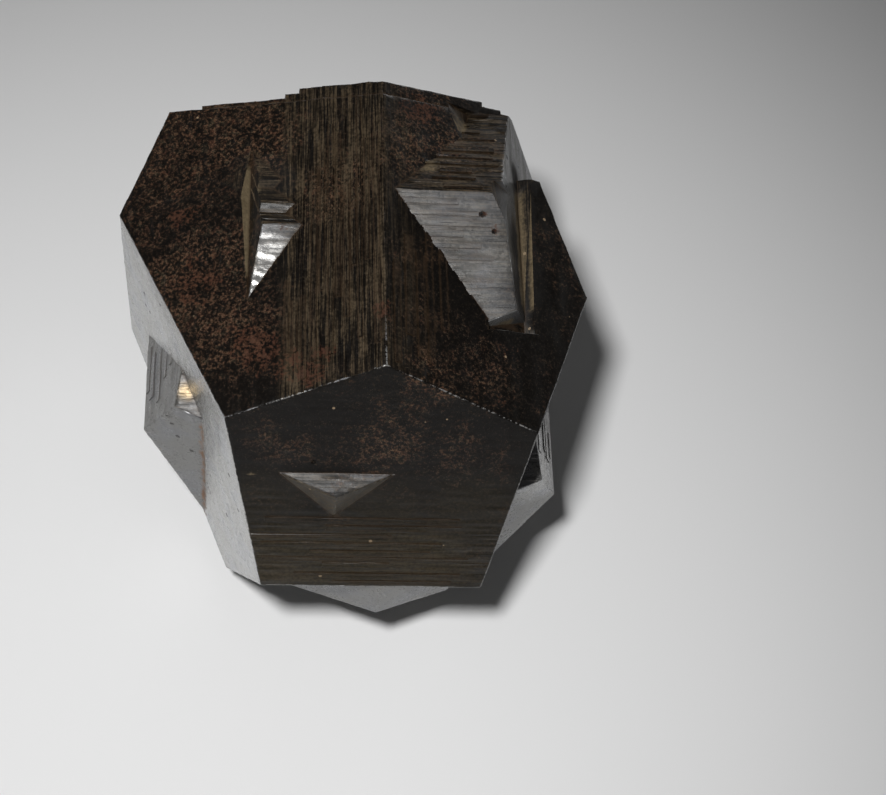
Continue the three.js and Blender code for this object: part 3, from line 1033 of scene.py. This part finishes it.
blotch = times(ease(patchy, 0.44, 0.62), ease(grainy, 0.42, 0.62, 0.1, 1.0))
blotch = times(blotch, ease(speckled, 0.36, 0.62, 0.35, 1.0))
webbed = times(times(threads, crusted), ease(grainy, 0.42, 0.58))
specks = times(ease(speckled, 0.54, 0.70), ease(grainy, 0.45, 0.6, 0.1, 1.0))
specks = times(specks, plus(times(crusted, SPECK_IN_CRUST), SPECK_SHARE))
crust_colour = shades("crust", ease(wandering, 0.42, 0.58))
colour = blend(times(crusted, blotch), shades("oxide", cloudy), crust_colour)
colour = blend(times(webbed, THREAD_SHARE), colour, THREAD)
colour = blend(specks, colour, SPECK)
print("nodes with the crust:", len(paint.nodes))

# %% Ochre and light ribs
RIBS_FADE_FROM, RIBS_FADE_TO = 19.0, 12.0

ribs = times(ease(measure("ribbed"), 0.15, 0.6), ease(line_mix, 0.46, 0.57))
ribs = times(ribs, ease(ragged, 0.40, 0.55, 0.45, 1.0))
ribs = times(ribs, ease(mm_axes.outputs["Y"], RIBS_FADE_FROM, RIBS_FADE_TO, 0.3, 1.0))
ribs = times(ribs, minus(1.0, measure("faint")))
streaky = plus(times(line_mix, 0.45), times(grainy, 0.55))
colour = blend(measure("olive"), colour, shades("ochre", ease(streaky, 0.38, 0.62)))
colour = blend(ribs, colour, shades("ribs", grainy))
print("nodes with the ribs:", len(paint.nodes))

# %% Rust, dust, seam dirt, dots and metal
RUST_SHARE = 0.66
SEAM_DIRT_SHARE = 0.5
DOT_SHARE = 0.8

colour = blend(times(rusted, RUST_SHARE), colour, shades("rust", grainy))
colour = blend(dusty, colour, shades("dust", grainy))
colour = blend(times(in_seam, SEAM_DIRT_SHARE), colour, SEAM_DIRT)
colour = blend(seam_rust, colour, shades("seam rust", grainy))
colour = blend(times(dots, DOT_SHARE), colour, DOT)
metal = blend(ease(cloudy, 0.42, 0.66, 0.0, 0.8), shades("metal", grainy), TARNISH)
metal = blend(measure("gold"), metal, GOLD)
colour = blend(shine, colour, metal)
paint.links.new(colour, shader.inputs["Base Color"])
paint.links.new(shine, shader.inputs["Metallic"])
print("nodes with all colours:", len(paint.nodes))

# %% [markdown]
# ## Gloss and fine relief
#
# Oxide is half glossy, bare metal glossier, crust and dust matt. The finest
# lines and grains are far below a tenth of a millimetre. As geometry they would
# need millions of triangles, so they only tilt the shading through a Bump node.

# %% Set the gloss
SMOOTHEST, ROUGHEST = 0.30, 0.44
METAL_SMOOTHER = 0.16
COVERED_ROUGHNESS = 0.6
DULL_ROUGHNESS = 0.8
OXIDE_IOR = 1.3

roughness = ease(ragged, 0.35, 0.65, SMOOTHEST, ROUGHEST)
roughness = minus(roughness, times(shine, METAL_SMOOTHER))
matt = larger(times(covered, COVERED_ROUGHNESS), times(measure("dull"), DULL_ROUGHNESS))
paint.links.new(larger(roughness, matt), shader.inputs["Roughness"])
shader.inputs["IOR"].default_value = OXIDE_IOR
print("nodes with the gloss:", len(paint.nodes))

# %% Set the fine relief
RELIEF_STRENGTH = 0.6
RELIEF_DEPTH = 0.03 * MM

relief = plus(times(fine_lines, 0.5), times(hair_lines, 0.05))
relief = minus(relief, times(grooves, 0.3))
relief = times(relief, ease(measure("ribbed"), 0.05, 0.6, 0.08, 1.0))
glittery = times(ease(measure("bare"), 0.02, 0.09), ease(measure("bare"), 0.7, 0.45))
relief = plus(relief, times(speckled, plus(times(glittery, 0.5), 0.12)))
relief = plus(relief, times(grainy, plus(times(crusted, 0.9), 0.2)))
bump = paint.nodes.new("ShaderNodeBump")
bump.inputs["Strength"].default_value = RELIEF_STRENGTH
bump.inputs["Distance"].default_value = RELIEF_DEPTH
paint.links.new(relief, bump.inputs["Height"])
paint.links.new(bump.outputs[0], shader.inputs["Normal"])
print("nodes in the skin material:", len(paint.nodes))

# %% [markdown]
# ## Coordinates along the stripes
#
# The lines in the material have to run along each face's own stripes. Object
# coordinates can't do that, since they know nothing of faces. A UV map can:
# each triangle is laid out flat with one axis along the stripes of its plane.

# %% Lay the grain coordinates along the stripes
uv_layer = skin_mesh.uv_layers.new(name="grain")
frames = []
for normal, _ in planes:
    entry = max(habit, key=lambda h: h["normal"].dot(normal))
    frames.append((normal.cross(entry["along"]).normalized(), entry["along"]))
frames = np.array(frames)
corner_points = co[triangles]
grain_uv = np.einsum("fcx,fax->fca", corner_points, frames[face_planes]) / GRAIN_MM
uv_layer.data.foreach_set("uv", grain_uv.astype(np.float32).ravel())
print("grain range:", grain_uv.min().round(2), grain_uv.max().round(2))

# %% [markdown]
# ## Run the tree once
#
# The tree's result becomes the plain mesh, so that the skin is real geometry.
# Edges sharper than a small angle stay hard, the rest shade smoothly.

# %% Make the finished crystal
HARD_ANGLE = math.radians(24)
USED_UP = ("push", "place", "stripes", "lumps")

crystal = bpy.data.objects.new("pyrite_crystal", skin_mesh)
bpy.context.scene.collection.objects.link(crystal)
stripe_modifier = crystal.modifiers.new("growth stripes", "NODES")
stripe_modifier.node_group = stripe_tree
for socket in stripe_tree.interface.items_tree:
    if socket.in_out == "INPUT" and socket.name in STRIPE_INPUTS:
        stripe_modifier[socket.identifier] = STRIPE_INPUTS[socket.name]
    if socket.name == "Skin":
        stripe_modifier[socket.identifier] = skin_paint
seen = crystal.evaluated_get(bpy.context.evaluated_depsgraph_get())
finished = bpy.data.meshes.new_from_object(seen)
crystal.modifiers.clear()
finished.transform(Matrix.Scale(MM, 4))
finished.name = "pyrite_crystal"
crystal.data = finished
for name in [a.name for a in finished.attributes]:
    if name.split()[0] in USED_UP:
        finished.attributes.remove(finished.attributes[name])
finished.polygons.foreach_set("use_smooth", [True] * len(finished.polygons))
finished.set_sharp_from_angle(angle=HARD_ANGLE)
finished.validate()
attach(crystal, "root")
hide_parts("pyrite_twin")
print("triangles:", len(finished.polygons))
print("size in mm:", [round(d / MM, 2) for d in crystal.dimensions])

# %% [markdown]
# ## Floor, lamp and room
#
# The crystal lies on a pale floor. One small lamp hangs above the lens, a little
# to the left, and throws a cone of light: it makes the short dark shadow on the
# right and lets the floor fade towards the far right corner. The twin's top
# faces look almost straight back at it, and glow. The room is pale at the
# horizon and dark higher up, so the main crystal's top faces mirror darkness.
#
# A weak lamp far behind keeps the back faces readable; from the front it
# only grazes the roof.
#
# Beyond the cone the room's own light takes over. Lamps for it would also wash
# out the shadow, so the far floor gives off that light itself, rising smoothly
# from nothing where the cone ends. From low angles the floor then runs on into
# the pale horizon. The floor's own sizes are in metres.

# %% Lay the floor
FLOOR_RADIUS = 3.0
FLOOR_CORNERS = 128
FLOOR_PALENESS = 0.80
FLOOR_ROUGHNESS = 0.9
FLOOR_GLOSS = 0.2
GLOW_FROM, GLOW_FULL = 0.09, 0.16
GLOW_CENTRE = (0.012, 0.016, 0.0)
GLOW = 0.37

bpy.ops.mesh.primitive_circle_add(vertices=FLOOR_CORNERS, radius=FLOOR_RADIUS, fill_type="NGON")
floor = bpy.context.object
floor.name = "floor"
floor_paint = bpy.data.materials.new("pale floor")
floor_paint.use_nodes = True
floor_tree = floor_paint.node_tree
floor_shader = floor_tree.nodes["Principled BSDF"]
floor_shader.inputs["Base Color"].default_value = rgb(*[FLOOR_PALENESS] * 3)
floor_shader.inputs["Roughness"].default_value = FLOOR_ROUGHNESS
floor_shader.inputs["Specular IOR Level"].default_value = FLOOR_GLOSS
floor_place = floor_tree.nodes.new("ShaderNodeTexCoord").outputs["Object"]
floor_place = vector_node(floor_tree, "SUBTRACT", floor_place, GLOW_CENTRE)
floor_away = add(floor_tree, "ShaderNodeVectorMath", floor_place, operation="LENGTH")
floor_away = floor_away.node.outputs["Value"]
glow = remap(floor_tree, floor_away, GLOW_FROM, GLOW_FULL, 0.0, GLOW)
floor_shader.inputs["Emission Color"].default_value = rgb(1.0, 1.0, 1.0)
floor_tree.links.new(glow, floor_shader.inputs["Emission Strength"])
floor.data.materials.append(floor_paint)
print("floor radius in m:", FLOOR_RADIUS)

# %% Hang the two lamps
def spot_lamp(name, place, aim, radius, watts, cone):
    """A spot lamp with a soft rim; lengths in millimetres, the cone in degrees."""
    data = bpy.data.lights.new(name, "SPOT")
    data.energy = watts
    data.shadow_soft_size = radius * MM
    data.spot_size = math.radians(cone)
    data.spot_blend = 1.0
    lamp = bpy.data.objects.new(name, data)
    bpy.context.scene.collection.objects.link(lamp)
    place, aim = Vector(place), Vector(aim)
    lamp.location = place * MM
    lamp.rotation_euler = (aim - place).to_track_quat("-Z", "Y").to_euler()
    print(name, "at:", [round(c, 4) for c in lamp.location])


spot_lamp("lamp", place=(-30, -60, 180), aim=(-10, -20, 0), radius=8, watts=1.24, cone=70)
spot_lamp("fill", place=(158, 308, 42), aim=(0, 0, 22), radius=40, watts=0.64, cone=22)

# %% Paint the room
ROOM_STOPS = [
    (0.0, 0.44), (0.1, 0.33), (0.22, 0.14), (0.35, 0.05),
    (0.5, 0.032), (0.8, 0.025), (1.0, 0.035),
]

world = bpy.data.worlds.new("room")
world.use_nodes = True
bpy.context.scene.world = world
sky = world.node_tree
towards = sky.nodes.new("ShaderNodeTexCoord").outputs["Generated"]
upward = sky.nodes.new("ShaderNodeSeparateXYZ")
sky.links.new(towards, upward.inputs[0])
room_ramp = sky.nodes.new("ShaderNodeValToRGB")
sky.links.new(upward.outputs["Z"], room_ramp.inputs[0])
while len(room_ramp.color_ramp.elements) < len(ROOM_STOPS):
    room_ramp.color_ramp.elements.new(0.5)
for stop, (at, value) in zip(room_ramp.color_ramp.elements, ROOM_STOPS):
    stop.position = at
    stop.color = rgb(value, value, value)
sky.links.new(room_ramp.outputs[0], sky.nodes["Background"].inputs["Color"])
print("room stops:", len(ROOM_STOPS))

# %% [markdown]
# ## The camera
#
# The camera looks down from the front at a steep angle. Its place and lens come
# from the crystal's own face angles as they appear in the photograph.

# %% Set the camera
LENS_MM, SENSOR_MM = 67.0, 36.0
NEAREST = 0.01
CAMERA_PLACE = Vector((-7.861, -67.543, 140.882))
CAMERA_TURN = (26.855, -6.607, -1.743)

camera_data = bpy.data.cameras.new("camera")
camera_data.lens = LENS_MM
camera_data.sensor_width = SENSOR_MM
camera_data.clip_start = NEAREST
camera = bpy.data.objects.new("camera", camera_data)
bpy.context.scene.collection.objects.link(camera)
camera.location = CAMERA_PLACE * MM
camera.rotation_euler = [math.radians(a) for a in CAMERA_TURN]
bpy.context.scene.camera = camera
bpy.context.scene.view_settings.view_transform = "Standard"
print("camera at:", [round(c, 4) for c in camera.location])

# %% Update the scene once more
bpy.context.view_layer.update()
